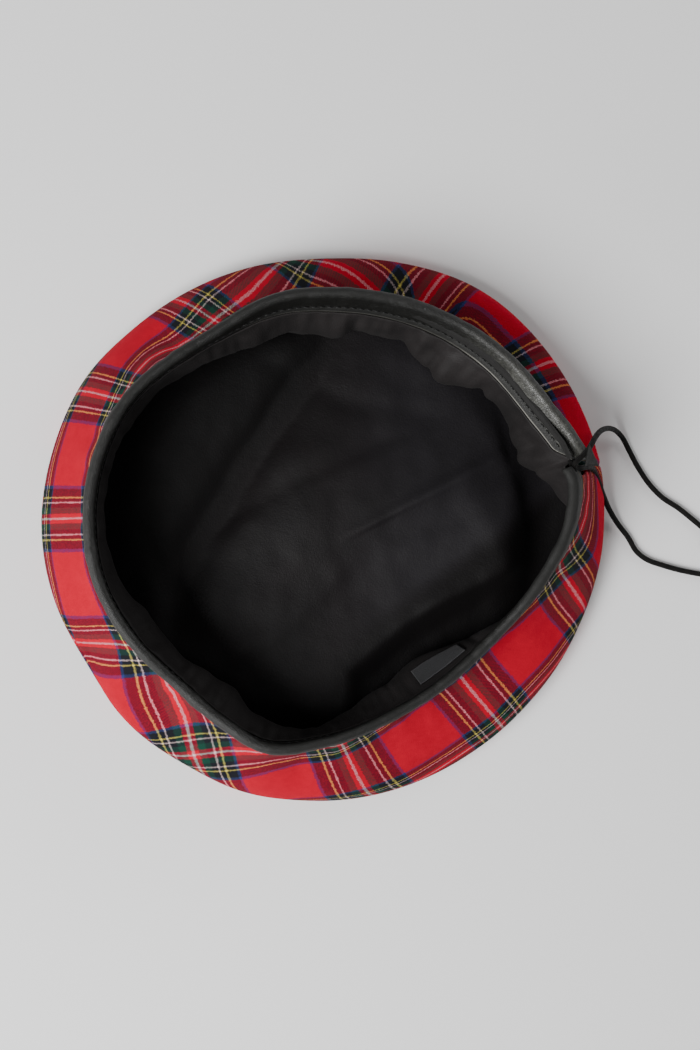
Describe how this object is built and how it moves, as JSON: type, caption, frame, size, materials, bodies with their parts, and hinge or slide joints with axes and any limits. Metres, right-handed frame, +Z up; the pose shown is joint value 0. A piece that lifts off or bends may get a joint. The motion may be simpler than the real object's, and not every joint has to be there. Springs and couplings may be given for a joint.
{
  "type": "tam o' shanter",
  "caption": "Round tartan beret lying on its crown, open side up, with a leather-bound drawstring edge, loose black lining, a bare care label and free cord ends.",
  "frame": {"origin": "Centre of the hat's outline on the surface that its crown rests on, without the cord ends.", "axes": "+Z goes up out of the opening, with the crown down. +X goes to the back of the head, where the drawstring leaves. +Y goes to the wearer's right when the hat lies like this and is seen from above."},
  "size_m": [0.3048, 0.2376, 0.0574],
  "materials": {
    "tartan": "brushed cotton tartan, red with dark, white and yellow lines",
    "lining": "plain black woven cotton, matt",
    "leather": "fine-grained black leather, satin",
    "cord": "thin black braided cord, matt",
    "label": "plain dark satin ribbon, bare"
  },
  "bodies": {
    "root": {"crown_panel": "tartan", "side_band": "tartan", "crown_lining": "lining", "side_lining": "lining", "binding": "leather", "binding_tab": "leather", "drawstring_run": "cord", "drawstring_upper": "cord", "drawstring_lower": "cord", "knot_upper": "cord", "knot_lower": "cord", "care_label": "label"}
  },
  "joints": []
}
